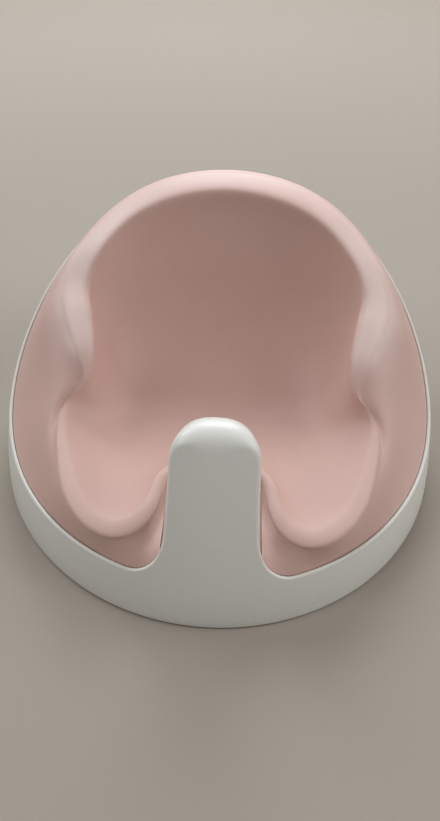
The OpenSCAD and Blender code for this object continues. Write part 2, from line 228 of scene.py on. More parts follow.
def eased(rows, u, turning=False):
    """A smooth curve through a table of station and values. It never overshoots a value.
    A value that keeps turning past the ends runs on there, and any other is level."""
    rows = np.array(rows, float)
    x, y = rows[:, 0], rows[:, 1:]
    step = np.diff(x)[:, None]
    rise = np.diff(y, axis=0) / step
    slope = np.zeros_like(y)
    a, b = rise[:-1], rise[1:]
    slope[1:-1] = 2 * np.maximum(a * b, 0) / np.where(a * b > 0, a + b, 1)
    if turning:
        slope[0], slope[-1] = rise[0], rise[-1]
    u = np.clip(np.asarray(u, float), x[0], x[-1])
    i = np.clip(np.searchsorted(x, u, "right") - 1, 0, len(x) - 2)
    h = (x[i + 1] - x[i])[..., None]
    t = (u - x[i])[..., None] / h
    value = (y[i] * (1 + 2 * t) * (1 - t) ** 2 + slope[i] * h * t * (1 - t) ** 2
             + y[i + 1] * t * t * (3 - 2 * t) + slope[i + 1] * h * t * t * (t - 1))
    return value[..., 0] if y.shape[1] == 1 else value


def through(points, u):
    """A smooth curve through points, which runs on past each end as its mirror image."""
    p = np.array(points, float)
    p = np.concatenate([p[1:2] * (-1, 1, 1), p, p[-2:-1] * (-1, 1, 1)])
    i = np.minimum(np.floor(u).astype(int), len(points) - 2)
    t = (u - i)[:, None]
    a, b, c, d = p[i], p[i + 1], p[i + 2], p[i + 3]
    return b + 0.5 * t * (c - a + t * (2 * a - 5 * b + 4 * c - d + t * (3 * (b - c) + d - a)))


def softened(rings, times, weight=1.0):
    """Rounds the profile lines that run across rings, each ring as long as the next."""
    rings = np.array(rings)
    for _ in range(times):
        between = (rings[:-2] + rings[2:]) / 2
        rings[1:-1] = lerp(rings[1:-1], between, 0.5 * weight)
    return rings


def respaced(rings, count):
    """Rings set at even distances along each profile line."""
    rings = np.array(rings)
    run = np.linalg.norm(np.diff(rings, axis=0), axis=-1)
    run = np.concatenate([np.zeros((1, run.shape[1])), np.cumsum(run, axis=0)])
    out = np.empty((count,) + rings.shape[1:])
    for k in range(rings.shape[1]):
        at = np.linspace(0, run[-1, k], count)
        for axis in range(3):
            out[:, k, axis] = np.interp(at, run[:, k], rings[:, k, axis])
    return out


# ---- the seat's curves ----

# Stations round the right half of the insert: 0 is the middle of the notch's back, 1 to 4 go
# round the notch, 5 to 9 round the leg well, 10 and 11 are the step up to the arm, 12 to 15 the
# arm and 16 to 18 the back. A table's rows each start with their station. These are the outer
# and the inner edge of the roll along its top, in millimetres, one point for each station.
SHOULDER_OUT = [
    (0, -86, 58), (26, -89, 59), (41, -111, 60), (44.5, -136, 59), (57, -160, 58),
    (79, -168, 57.5), (103, -157, 60), (122, -132, 64.5), (133.5, -98, 70.5), (138.5, -68, 76),
    (133.5, -48, 82.5), (119.5, -34, 97), (129, -12, 114), (143, 16, 126), (150, 47, 134),
    (138, 83, 154), (105, 125, 176), (59, 154, 189.5), (0, 165, 193.5)]
SHOULDER_IN = [
    (0, -72, 58), (24, -78, 58), (49, -104, 60), (56, -128, 60), (67, -144, 60.5),
    (80, -150, 61), (97, -140, 63), (111, -120, 66.5), (123, -93, 71.5), (131, -66, 76.5),
    (129.5, -47, 82), (114.5, -31, 95), (112.5, -9, 113), (117, 17, 128), (122, 42, 140),
    (113, 66, 161), (87, 96, 179), (49, 116, 190), (0, 125, 193.5)]
LAST = len(SHOULDER_OUT) - 1
NOTCH_SIDE, NOTCH_CORNER, ON_RIM = 1.6, 3.4, 4.5    # stations where the notch's line changes
STEP = 0.02             # a short way along a line, in stations, to take its direction

# How high the roll is crowned, and how its two ends swell from its outer to its inner edge.
CROWN = [(0, 3), (4, 2.5), (7, 1.5), (9, 0.5), (11, 0.5), (12, 3), (14, 5.5), (18, 5)]
SWELL = [(0, 0.22, 0.75), (10, 0.22, 0.78), (12, 0.15, 0.95), (18, 0.15, 0.98)]
# Shares of the run and the fall at two points on the way, for the bowl and for the flank.
BOWL = [(0, 0.35, 0.35, 0.7, 1), (2, 0.3, 0.35, 0.65, 1), (5, 0.15, 0.35, 0.55, 1),
        (9, 0.18, 0.36, 0.55, 1), (10, 0.14, 0.42, 0.45, 1), (12, 0.06, 0.5, 0.36, 1),
        (14, 0.05, 0.5, 0.36, 1), (16, 0.1, 0.5, 0.42, 1), (18, 0.12, 0.5, 0.5, 0.97)]
FLANK = [(0, 0.3, 0.3, 0.7, 0.7), (6, 0.33, 0.32, 0.72, 0.68), (9, 0.3, 0.3, 0.78, 0.66),
         (11, 0.3, 0.3, 0.75, 0.66), (13, 0.22, 0.32, 0.62, 0.78), (15, 0.2, 0.33, 0.6, 0.76),
         (17, 0.05, 0.4, 0.4, 0.85), (18, 0.05, 0.4, 0.4, 0.9)]
# The crease under the roll at the waist and the fuller flank below it, in millimetres.
CREASE = [(0, 0), (7, 0), (8, 1.5), (10, 7), (11, 6.5), (11.9, 0), (18, 0)]
BULGE = [(0, 0), (6.5, 0), (8, 1.5), (9, 7.5), (10, 16), (10.5, 16), (11, 14), (12, 5),
         (12.8, 0.5), (13.3, 0), (18, 0)]
# How much the roll is rubbed by hands and lightened by a painted highlight.
RUBBED_AND_LIT = [(0, 0.15), (9, 0.15), (10, 0), (11.2, 0.1), (12.3, 1), (15, 1), (17, 0.2), (18, 0.2)]
# Rows of the insert's skin, from the middle of the seat outwards.
DISH_ROWS, BOWL_ROWS, ROLL_ROWS, FLANK_ROWS = 7, 52, 27, 45
ROLL_START = DISH_ROWS + BOWL_ROWS - 1
EVENING_PASSES, WELL_PASSES = 160, 16
PAN_X, PAN_Y, PAN_MIDDLE = 62, 34, -22      # half width, half depth and middle of the pan

CORNER = 13.4           # angle at which the notch's corner meets the rim
LEAN_HEIGHT = 200       # height over which the shell's lean is given
BEND_Y, BEND = -5, 50   # where the rim starts to climb, and how softly it bends
ARCH_POWER = 2.35       # how square the pommel's round top is
EDGE = 0.8              # radius of the small edges of the plastic parts
TOP_ROUND, SIDE_ROUND, RIM_ROUND = 22, 5, 2     # radius of the pommel's top, its sides, the rim
HUG_IN, HUG_DOWN = 0.25, 0.3    # how closely the insert's edge lies to the rim's lip
NOTCH_ROUND, NOTCH_EDGE_Z = 10, 53      # radius of the notch's back corners, height of its edge
SCREW_X, SCREW_Z = 13.0, 62.0   # the cover's two screws
SCREW_HOLE = [(1.8, -6), (1.8, -2.1), (3.55, 0.2), (3.9, 0.6)]      # radius and height
BOSSES = [(92, -112), (125, 15), (84, 138)]     # the tub's screw posts on its right side
COVER_ROOM, TUB_ROOM = 0.6, 0.4     # between the shell's wall and the cover, and the tub
FOAM_ROOM, FLOOR_ROOM = 1.4, 0.6    # round the insert, past its gap, and under it


def in_millimetres(settings):
    """A group's settings, with its lengths in millimetres."""
    values = {}
    for kind in settings.bl_rna.properties:
        value = getattr(settings, kind.identifier)
        values[kind.identifier] = value * 1000 if kind.unit == "LENGTH" else value
    return SimpleNamespace(**values)


class SeatForm:
    """The seat's curves in millimetres, from the sizes in the sidebar."""

    def __init__(self, scene):
        shell, pommel, foam, base = (in_millimetres(getattr(scene, "floor_seat_" + name))
                                     for name in ("shell", "pommel", "foam", "base"))
        self.shell, self.pommel, self.foam, self.base = shell, pommel, foam, base
        self.arch_z = pommel.height - pommel.arch
        self.root_x = pommel.width / 2 + pommel.flare + pommel.root
        self.root_a = np.degrees(np.arcsin(self.root_x / self.half_width(shell.rim)))
        self.root_z = self.rim(self.root_a)[2]
        self.side_z = self.root_z + pommel.root
        self.tub_in = shell.wall + TUB_ROOM
        self.wall_in = shell.lip + foam.gap + FOAM_ROOM
        self.foam_floor = base.tub_floor + base.tub_wall + FLOOR_ROOM
        normal = level(self.normal(CORNER, self.rim_height(CORNER)))
        meet = self.inside_rim(CORNER, self.wall_in, 0)
        self.corner_r = (meet[0] - foam.notch) / (1 + normal[0])
        self.corner_y = meet[1] - normal[1] * self.corner_r
        self.corner_z = meet[2]
        self.corner_end = 360 + np.degrees(np.arctan2(normal[1], normal[0]))

    # the outside of the shell
    def rise(self, z, power):
        return (np.maximum(z - self.shell.gap, 0) / LEAN_HEIGHT) ** power

    def half_width(self, z):
        return self.shell.width / 2 - self.shell.side_lean * self.rise(z, 1.5)

    def front(self, z):
        return -self.shell.depth / 2 + self.shell.front_lean * self.rise(z, 1.13)

    def back(self, z):
        return self.shell.depth / 2 - self.shell.back_lean * self.rise(z, 1.5)

    def dome(self, angle, z):
        """Point at an angle round the shell, from the front, and at a height."""
        angle, front, back = np.radians(angle), self.front(z), self.back(z)
        return stacked(self.half_width(z) * np.sin(angle),
                       (front + back) / 2 - (back - front) / 2 * np.cos(angle), z)

    def angle_of(self, p):
        x, y, z = p[..., 0], p[..., 1], p[..., 2]
        front, back = self.front(z), self.back(z)
        return np.degrees(np.arctan2(np.abs(x) / self.half_width(z),
                                     ((front + back) / 2 - y) / ((back - front) / 2)))

    def on_front(self, x, z):
        return self.dome(np.degrees(np.arcsin(x / self.half_width(z))), z)

    def behind_pommel(self, x, z):
        """A place on the back of the pommel, with +Z pointing back."""
        n = self.normal(0, z)
        place = Vector((self.on_front(x, z) - n * self.pommel.depth) * 0.001)
        back = -Vector(n)
        across = Vector((1, 0, 0))
        turn = Matrix((across, back.cross(across), back)).transposed().to_4x4()
        return Matrix.Translation(place) @ turn

    def normal(self, angle, z):
        return unit(np.cross(self.dome(angle + 0.5, z) - self.dome(angle - 0.5, z),
                             self.dome(angle, z + 0.5) - self.dome(angle, z - 0.5)))

    # the rim
    def rim_height(self, angle):
        z = 60 + 0 * np.asarray(angle, float)
        for _ in range(8):
            y = self.dome(angle, z)[..., 1]
            z = self.shell.rim + self.shell.climb * BEND * np.log1p(np.exp((y - BEND_Y) / BEND))
        return z

    def rim(self, angle):
        return self.dome(angle, self.rim_height(angle))

    def inside_rim(self, angle, inset, down):
        """A line inside the rim, seen from above, and below it."""
        inward = level(self.normal(angle, self.rim_height(angle)))
        down = stacked(0, 0, np.asarray(down, float))
        return self.rim(angle) - inward * np.asarray(inset, float)[..., None] - down

    # the edge of the shell: over the pommel from its top, s = 0, down its side from s = 1 to 2,
    # round its root from 2 to 3, and back along the seat's side to s = 4
    def arch(self, degrees, inset=0):
        """The pommel's round top, from its middle to its side, and inside that by an inset."""
        turn, k = np.radians(degrees), 2 / ARCH_POWER
        return ((self.pommel.width / 2 - inset) * np.abs(np.sin(turn)) ** k,
                self.arch_z + (self.pommel.arch - inset) * np.abs(np.cos(turn)) ** k)

    def outline_x(self, z):
        low = self.pommel.width / 2 + self.pommel.flare * share_of(z, self.arch_z, self.side_z) ** 1.5
        up = share_of(z, self.arch_z, self.pommel.height)
        return np.where(z > self.arch_z,
                        self.pommel.width / 2 * (1 - up ** ARCH_POWER) ** (1 / ARCH_POWER), low)

    def edge(self, s):
        s = np.asarray(s, float)
        top = self.on_front(*self.arch(90 * np.clip(s, 0, 1)))
        z = lerp(self.arch_z, self.side_z, np.clip(s - 1, 0, 1))
        side = self.on_front(self.outline_x(z), z)
        turn = np.radians(90 * np.clip(s - 2, 0, 1))
        root = self.on_front(self.root_x - self.pommel.root * np.cos(turn),
                             self.root_z + self.pommel.root * (1 - np.sin(turn)))
        rim = self.rim(lerp(self.root_a, 180, np.clip(s - 3, 0, 1)))
        part = np.floor(np.clip(s, 0, 3.999)).astype(int)[..., None]
        return np.choose(part, [top, side, root, rim])

    # the soft insert, seen from above at a distance inside the rim and below it
    def plan(self, u, inset, down):
        u = np.asarray(u, float)
        half, back, r = self.foam.notch, self.foam.notch_back, NOTCH_ROUND
        turn = np.radians(90 * share_of(u, 1, NOTCH_SIDE))
        x = np.where(u < 1, (half - r) * u, half - r * (1 - np.sin(turn)))
        y = np.where(u < 1, -back, -back - r * (1 - np.cos(turn)))
        side = lerp(-back - r, self.corner_y, share_of(u, NOTCH_SIDE, NOTCH_CORNER))
        y = np.where(u > NOTCH_SIDE, side, y)
        corner = share_of(u, NOTCH_CORNER, ON_RIM)
        turn = np.radians(lerp(180, self.corner_end, corner))
        push = self.corner_r + (self.wall_in - inset) * smooth(corner)
        x = np.where(u > NOTCH_CORNER, half + self.corner_r + push * np.cos(turn), x)
        y = np.where(u > NOTCH_CORNER, self.corner_y + push * np.sin(turn), y)
        rest = self.inside_rim(rim_turn(u), inset, down)
        near = stacked(x, y, self.corner_z - down)
        return np.where((u < ON_RIM)[..., None], near, rest)

    def foam_edge(self, u):
        """Where the insert's skin meets the inside of the rim's lip, also up the pommel's root."""
        along = self.edge(lerp(2.2, 3, share_of(u, NOTCH_CORNER, 5)))
        at = np.where((u < 5)[:, None], along, self.rim(rim_turn(u)))
        n = self.normal(self.angle_of(at), at[:, 2])
        close = at - n * (self.shell.lip + HUG_IN) - (0, 0, HUG_DOWN)
        near = self.plan(u, self.shell.lip + HUG_IN, HUG_DOWN)
        near[:, 2] = NOTCH_EDGE_Z
        first = int(np.searchsorted(u, NOTCH_CORNER))
        shift = smooth((u - 2.2) / 1.2)[:, None] * (close[first] - near[first])
        return np.where((u < NOTCH_CORNER)[:, None], near + shift, close)

    def inward(self, u):
        t = level(self.plan(np.minimum(LAST, u + STEP), self.wall_in, 0)
                  - self.plan(np.maximum(0, u - STEP), self.wall_in, 0))
        return stacked(-t[..., 1], t[..., 0], 0)

    def sole(self, u, turn):
        """A line round the insert's rounded foot, at an angle up it."""
        r = eased([(0, 5), (3.5, 5), (5, 10), (8, 13), (12, 22), (18, 22)], u)
        inside, up = rounded(turn)
        p = self.plan(u, self.wall_in, 0) + self.inward(u) * (r * inside)[:, None]
        return stacked(p[:, 0], p[:, 1], self.foam_floor + r * up)

    def pan(self, u, size, z):
        turn = np.radians(pan_turn(u))
        return stacked(PAN_X * size * np.cos(turn), PAN_MIDDLE + PAN_Y * size * np.sin(turn), z)


def rim_turn(u):
    """The angle round the shell at each station on the rim."""
    angles = [20, 31, 42, 52, 63, 71, 76, 83, 92, 102, 116, 134, 156, 180]
    return eased([(ON_RIM, CORNER), *enumerate(angles, 5)], u, turning=True)


def pan_turn(u):
    """The angle round the pan at each station."""
    angles = [-90, -76, -57, -52, -46, -41, -34, -27, -19, -11, -6, -3, 2, 9, 18, 30, 46, 67, 90]
    return eased([*enumerate(angles)], u, turning=True)


def sweep(p, q, shares, t):
    """A curve from p to q whose run and fall are shared out differently."""
    return bezier(p, lerp(p, q, shares[:, [0, 0, 1]]), lerp(p, q, shares[:, [2, 2, 3]]), q, t)


# ---- making meshes ----

def add_object(name, data):
    """Puts a new object in the scene, in place of an older one of its name."""
    old = bpy.data.objects.get(name)
    if old is not None:
        bpy.data.objects.remove(old)
    made = bpy.data.objects.new(name, data)
    bpy.context.scene.collection.objects.link(made)
    return made


def written(bm, mesh, crisp=None):
    """Puts the faces in a mesh, facing outwards, and smooth up to a crisp angle if it has one."""
    bmesh.ops.recalc_face_normals(bm, faces=bm.faces)
    bm.to_mesh(mesh)
    bm.free()
    if crisp:
        mesh.shade_smooth()
        mesh.set_sharp_from_angle(angle=radians(crisp))


def ring_mesh(name, rings, capped=True, closed=False, crisp=50, masks=None):
    """A mesh from rings of points in millimetres. Caps close the first and last ring, and a
    closed one joins the last ring to the first. Masks are values for each ring."""
    n, m = len(rings[0]), len(rings)
    points = np.concatenate(rings) * 0.001
    faces = []
    for j in range(m if closed else m - 1):
        a, b = j * n, (j + 1) % m * n
        faces += [(a + i, b + i, b + (i + 1) % n, a + (i + 1) % n) for i in range(n)]
    if capped:
        points = np.concatenate([points, [rings[0].mean(0) * 0.001], [rings[-1].mean(0) * 0.001]])
        top, end = n * m, (m - 1) * n
        faces += [(top, i, (i + 1) % n) for i in range(n)]
        faces += [(top + 1, end + (i + 1) % n, end + i) for i in range(n)]
    mesh = bpy.data.meshes.new(name)
    mesh.from_pydata(points.tolist(), [], faces)
    for mask, values in (masks or {}).items():
        values = [np.broadcast_to(v, n) for v in values]
        if capped:
            values += [values[0][:1], values[-1][:1]]
        layer = mesh.attributes.new(mask, "FLOAT", "POINT")
        layer.data.foreach_set("value", np.concatenate(values).astype(np.float32))
    tidy = bmesh.new()
    tidy.from_mesh(mesh)
    bmesh.ops.remove_doubles(tidy, verts=tidy.verts, dist=1e-6)
    written(tidy, mesh, crisp)
    return add_object(name, mesh)


def dress(piece, material, body, slot, *nodes):
    """Finishes a new piece: its material, the body it rides on and the solids it stands for."""
    piece.data.materials.append(material)
    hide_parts(*nodes)
    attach(piece, body)


def paint_node(name, material):
    for place in frame["nodes"][name].material_slots:
        place.material = material


# ---- materials ----

DUST = (0.36, 0.33, 0.29, 1.0)
RUBBER_DUST = (0.22, 0.20, 0.18, 1.0)


def put(tree, socket, value):
    """Links a socket to another one, or else sets a constant on it."""
    if isinstance(value, bpy.types.NodeSocket):
        tree.links.new(value, socket)
    else:
        socket.default_value = value


def feed(tree, made, **values):
    for key, value in values.items():
        put(tree, made.inputs[key.replace("_", " ")], value)


def node(tree, kind, **values):
    """Adds a node. A value is one of its settings, or else goes to its input of that name."""
    made = tree.nodes.new("ShaderNode" + kind)
    for key, value in values.items():
        if hasattr(made, key):
            setattr(made, key, value)
        else:
            feed(tree, made, **{key: value})
    return made


def maths(tree, operation, a, b):
    made = node(tree, "Math", operation=operation)
    put(tree, made.inputs[0], a)
    put(tree, made.inputs[1], b)
    return made.outputs[0]


def times(tree, a, b):
    return maths(tree, "MULTIPLY", a, b)


def ramp(tree, value, **limits):
    return node(tree, "MapRange", Value=value, **limits).outputs["Result"]


def noise(tree, place, scale, detail=2.0, rough=0.5):
    return node(tree, "TexNoise", Vector=place, Scale=scale, Detail=detail, Roughness=rough).outputs["Fac"]


def own_place(tree):
    return node(tree, "TexCoord").outputs["Object"]


def mixed(tree, factor, a, b):
    made = node(tree, "Mix", data_type="RGBA")
    for index, value in ((0, factor), (6, a), (7, b)):
        put(tree, made.inputs[index], value)
    return made.outputs[2]


def shade(colour, by=1.0):
    return (*(min(1.0, c * by) for c in colour), 1.0)


def new_group(name, outputs, **inputs):
    """A shader node group with named sockets: its tree, its way out and the inputs' values."""
    tree = bpy.data.node_groups.new(name, "ShaderNodeTree")
    for key, default in inputs.items():
        socket = tree.interface.new_socket(key.replace("_", " "), in_out="INPUT",
                                           socket_type="NodeSocketFloat")
        socket.default_value = default
    for label in outputs:
        tree.interface.new_socket(label, in_out="OUTPUT", socket_type="NodeSocketFloat")
    start, end = tree.nodes.new("NodeGroupInput"), tree.nodes.new("NodeGroupOutput")
    return tree, end, start.outputs[:len(inputs)]


def moulded_grain():
    """Fine grain from the mould, with slow waves and a few pits, and a mottle as slow as they."""
    tree, end, (grains, waves, wave_share, pits) = new_group(
        "Moulded grain", ["Height", "Mottle"], Grains_per_metre=900.0, Waves_per_metre=25.0,
        Wave_share=0.5, Pits=0.3)
    place = own_place(tree)
    fine = noise(tree, place, grains, 3.0, 0.6)
    slow = times(tree, noise(tree, place, waves, 1.0, 0.4), wave_share)
    cells = node(tree, "TexVoronoi", Vector=place, Scale=times(tree, grains, 0.35))
    pit = ramp(tree, cells.outputs["Distance"], From_Max=0.22, To_Min=1.0, To_Max=0.0)
    height = maths(tree, "SUBTRACT", maths(tree, "ADD", fine, slow), times(tree, pit, pits))
    mottle = noise(tree, place, times(tree, waves, 0.6), 4.0, 0.55)
    feed(tree, end, Height=height, Mottle=mottle)
    return tree


def handling_wear():
    """Masks from 0 to 1: short scratches in patches, and dust that is thicker near the floor."""
    tree, end, (amount, scratches, dust_height) = new_group(
        "Handling wear", ["Scuffs", "Dust"], Amount=0.5, Scratches_per_metre=60.0,
        Dust_height=0.02)
    place = own_place(tree)
    drawn_out = node(tree, "Mapping", Vector=place, Scale=(1.0, 0.35, 3.2), Rotation=(0.35, 0.2, 0.5))
    streak = ramp(tree, noise(tree, drawn_out.outputs["Vector"], scratches, 6.0, 0.75),
                  From_Min=0.60, From_Max=0.74)
    patch = ramp(tree, noise(tree, place, 14.0), From_Min=0.45, From_Max=0.7)
    up = node(tree, "SeparateXYZ", Vector=place).outputs["Z"]
    up = maths(tree, "MAXIMUM", maths(tree, "DIVIDE", up, dust_height), 0.0)
    dust = times(tree, maths(tree, "POWER", 0.37, up), noise(tree, place, 220.0, 5.0, 0.7))
    feed(tree, end, Dust=times(tree, dust, amount),
         Scuffs=times(tree, times(tree, streak, patch), amount))
    return tree


def placed(tree, make, **values):
    """Adds a shared node group, which its function makes the first time."""
    label = make.__name__.replace("_", " ").capitalize()
    shared = bpy.data.node_groups.get(label) or make()
    return node(tree, "Group", node_tree=shared, **values).outputs


def start_material(name, roughness, **constants):
    material = bpy.data.materials.get("seat_" + name)
    if material is not None:
        bpy.data.materials.remove(material)
    material = bpy.data.materials.new("seat_" + name)
    material.use_nodes = True
    tree = material.node_tree
    tree.nodes.clear()
    surface = node(tree, "BsdfPrincipled", Roughness=roughness, **constants)
    node(tree, "OutputMaterial", Surface=surface.outputs[0])
    return material, tree, surface


class Finish:
    """A material with a mottled colour, uneven gloss and grain, and coats laid over it."""

    def __init__(self, name, colour, tones, roughness, gloss, grain, wear, **constants):
        self.material, self.tree, self.surface = start_material(name, roughness, **constants)
        self.grain = placed(self.tree, moulded_grain, **grain)
        self.wear = placed(self.tree, handling_wear, **wear)
        mottle = self.grain["Mottle"]
        self.base = mixed(self.tree, mottle, shade(colour, tones[0]), shade(colour, tones[1]))
        self.dull = ramp(self.tree, mottle, To_Min=gloss[0], To_Max=gloss[1])

    def coat(self, mask, colour, cover=1.0, duller=0.0):
        """Lays a colour where a mask shows, and makes it duller or glossier there. The mask is one
        of the wear group's, or else the mesh's own."""
        shown = self.wear.get(mask) or node(self.tree, "Attribute", attribute_name=mask).outputs["Fac"]
        covered = times(self.tree, shown, cover) if cover < 1 else shown
        self.base = mixed(self.tree, covered, self.base, colour)
        if duller:
            self.dull = maths(self.tree, "ADD", self.dull, times(self.tree, shown, duller))

    def done(self, grain_depth):
        bump = node(self.tree, "Bump", Distance=grain_depth, Height=self.grain["Height"])
        feed(self.tree, self.surface, Base_Color=self.base, Roughness=self.dull, Normal=bump.outputs[0])
        return self.material


def plastic(name, colour, roughness, grains, grain_depth, scuffs, mask=None):
    """Moulded plastic with a fine spark-eroded grain, slight flow marks, scuffs and dust."""
    skin = Finish(name, colour, (0.975, 1.02), roughness, (roughness - 0.05, roughness + 0.07),
                  dict(Grains_per_metre=grains, Waves_per_metre=18.0, Wave_share=0.6, Pits=0.0),
                  dict(Amount=scuffs))
    skin.coat("Scuffs", shade(colour, 0.72), duller=0.25)
    skin.coat("Dust", DUST)
    if mask:
        # Painted highlight and wear: lighter and glossier where the mask shows, on rubbed and lit edges.
        skin.coat(mask, shade(colour, 1.05), cover=0.5, duller=-0.08)
    return skin.done(grain_depth)


def foam_skin(settings):
    """Skinned foam: matt, faintly mottled, with a fine pebbled grain and a few pinholes."""
    skin = Finish("foam_skin", settings.colour, (0.94, 1.05), 0.6, (0.46, 0.58),
                  dict(Grains_per_metre=1.0 / settings.grain, Waves_per_metre=30.0,
                       Wave_share=0.9, Pits=0.25), dict(Amount=0.25, Scratches_per_metre=45.0),
                  Sheen_Weight=0.12, Sheen_Roughness=0.45)
    # Painted highlight and rubbing: the roll's crest is lightened towards the rubbed colour.
    skin.coat("crest", shade(settings.rubbed), cover=0.95, duller=-0.06)
    skin.coat("Scuffs", shade(settings.colour, 0.8))
    return skin.done(0.00022)


def foot_rubber(colour):
    """Black rubber, dusty, with a slight grain."""
    skin = Finish("foot_rubber", colour, (0.8, 1.5), 0.75, (0.66, 0.85),
                  dict(Grains_per_metre=1400.0, Waves_per_metre=60.0, Wave_share=0.3, Pits=0.2),
                  dict(Amount=0.9, Dust_height=0.004))
    skin.coat("Dust", RUBBER_DUST)
    return skin.done(0.00012)


def screw_steel(colour):
    """Plated steel, unevenly dulled, with fine scratches."""
    skin = Finish("screw_steel", colour, (0.86, 1.06), 0.3, (0.24, 0.42),
                  dict(Grains_per_metre=2600.0, Waves_per_metre=160.0, Wave_share=0.4, Pits=0.1),
                  dict(Amount=0.8, Scratches_per_metre=400.0), Metallic=1.0)
    skin.coat("Scuffs", shade(colour, 0.6))
    return skin.done(0.00002)


# ---- the pieces ----

def shell_rings(form):
    """Rows of the shell from its foot, up the outside, round the edge and down the inside, and how much
    each row is rubbed and lightened by a painted highlight."""
    s = np.concatenate([np.arange(22) / 22, 1 + np.arange(12) / 12, 2 + np.arange(22) / 22,
                        3 + np.arange(101) / 100])
    p = form.edge(s)
    n = form.normal(form.angle_of(p), p[:, 2])
    n[0] = n[0] * (0, 1, 1) / np.linalg.norm(n[0, 1:])
    along = unit(form.edge(np.minimum(4, s + STEP)) - form.edge(np.maximum(0, s - STEP)))
    along[0], along[-1] = (1, 0, 0), (-1, 0, 0)
    out = unit(np.cross(n, along))
    on_rim = smooth((s - 1.9) / 0.35)
    depth = lerp(form.pommel.depth, form.shell.lip, on_rim)[:, None]
    r = lerp(lerp(TOP_ROUND, SIDE_ROUND, smooth(s)), RIM_ROUND, on_rim)[:, None]
    wall = form.shell.wall
    top = p - out * r
    top_angle, top_z = form.angle_of(top), top[:, 2]
    foot = np.where(s < 3, form.root_a * s / 3, lerp(form.root_a, 180, s - 3))
    aside = level(form.normal(foot, 3.0))

    def turned(hub, side, up, radius, degrees):
        t = radians(degrees)
        return hub + side * radius * cos(t) + up * radius * sin(t)

    def up_the_side(t):
        return lerp(foot, top_angle, t), lerp(form.shell.gap + EDGE, top_z, t)

    rows = []
    for k in (0, 35, 65):        # the rounded foot of the skirt
        inside, up = rounded(k)
        rows.append((form.dome(foot, form.shell.gap + EDGE * up) - aside * EDGE * inside, 0.6))
    rows += [(form.dome(*up_the_side(t)), 0) for t in np.linspace(0, 1, 30)]
    # Over the round top the mask rises to 1: rubbing and a painted highlight where the light catches the
    # edge.
    rows += [(turned(top - n * r, n, out, r, k), sin(radians(k))) for k in np.linspace(9, 90, 10)]
    lip = p - n * (depth - EDGE)
    rows += [(turned(lip - out * EDGE, out, -n, EDGE, k), 0.8) for k in (0, 30, 60, 90)]
    rows += [(turned(lip - out * (wall - EDGE), -n, -out, EDGE, k), 0.3) for k in (0, 30, 60, 90)]
    far = np.maximum(r, wall)
    rows.append((p - out * wall - n * far, 0))
    rows += [(turned(top - n * far, n, out, np.maximum(r - wall, 0.2), k), 0) for k in (60, 30)]
    for t in np.linspace(1, 0, 14):
        angle, z = up_the_side(t)
        rows.append((form.dome(angle, z) - form.normal(angle, np.maximum(z, 3)) * wall, 0))
    rows.append((form.dome(foot, form.shell.gap) - aside * (wall - 0.6), 0.3))
    return zip(*rows)


def lathe(bm, matrix, profile, ring=False, steps=32):
    """Adds a turned solid to a mesh from a line of radius and height. A ring's line is closed."""
    rows = [[bm.verts.new(matrix @ Vector(p * 0.001)) for p in circle(radius, height, steps)]
            for radius, height in profile]
    for a, b in zip(rows, rows[1:] + rows[:1] if ring else rows[1:]):
        for i in range(steps):
            bm.faces.new((a[i], a[(i + 1) % steps], b[(i + 1) % steps], b[i]))
    if not ring:
        bm.faces.new(rows[0])
        bm.faces.new(rows[-1])


def drilled(piece, places, profile):
    """Cuts the same turned hole out of a piece at each place."""
    bm = bmesh.new()
    for place in places:
        lathe(bm, place, profile)
    tool = add_object("drill", bpy.data.meshes.new("drill"))
    written(bm, tool.data)
    cut = piece.modifiers.new("Holes", "BOOLEAN")
    cut.operation, cut.solver, cut.object = "DIFFERENCE", "EXACT", tool
    whole = piece.evaluated_get(bpy.context.evaluated_depsgraph_get())
    mesh = bpy.data.meshes.new_from_object(whole)
    piece.modifiers.clear()
    piece.data = mesh
    bpy.data.objects.remove(tool)
    mesh.set_sharp_from_angle(angle=radians(40))


class FLOOR_SEAT_OT_shell(bpy.types.Operator):
    """Build the white shell with its pommel"""
    bl_idname = "floor_seat.shell"
    bl_label = "Shell"

    def execute(self, context):
        settings = context.scene.floor_seat_shell
        rings, rub_and_highlight = shell_rings(SeatForm(context.scene))
        piece = ring_mesh("shell_skin", [mirrored(r) for r in rings], capped=False, closed=True,
                          masks={"rubbed": rub_and_highlight})
        # The mask lightens the edges, the pommel's top and the lip: partly wear, partly a painted
        # highlight.
        look = plastic("shell_plastic", settings.colour, 0.34, 1500.0, 0.00006, settings.scuffs,
                       mask="rubbed")
        dress(piece, look, "shell", "shell_plastic", "outer_shell")
        return {"FINISHED"}


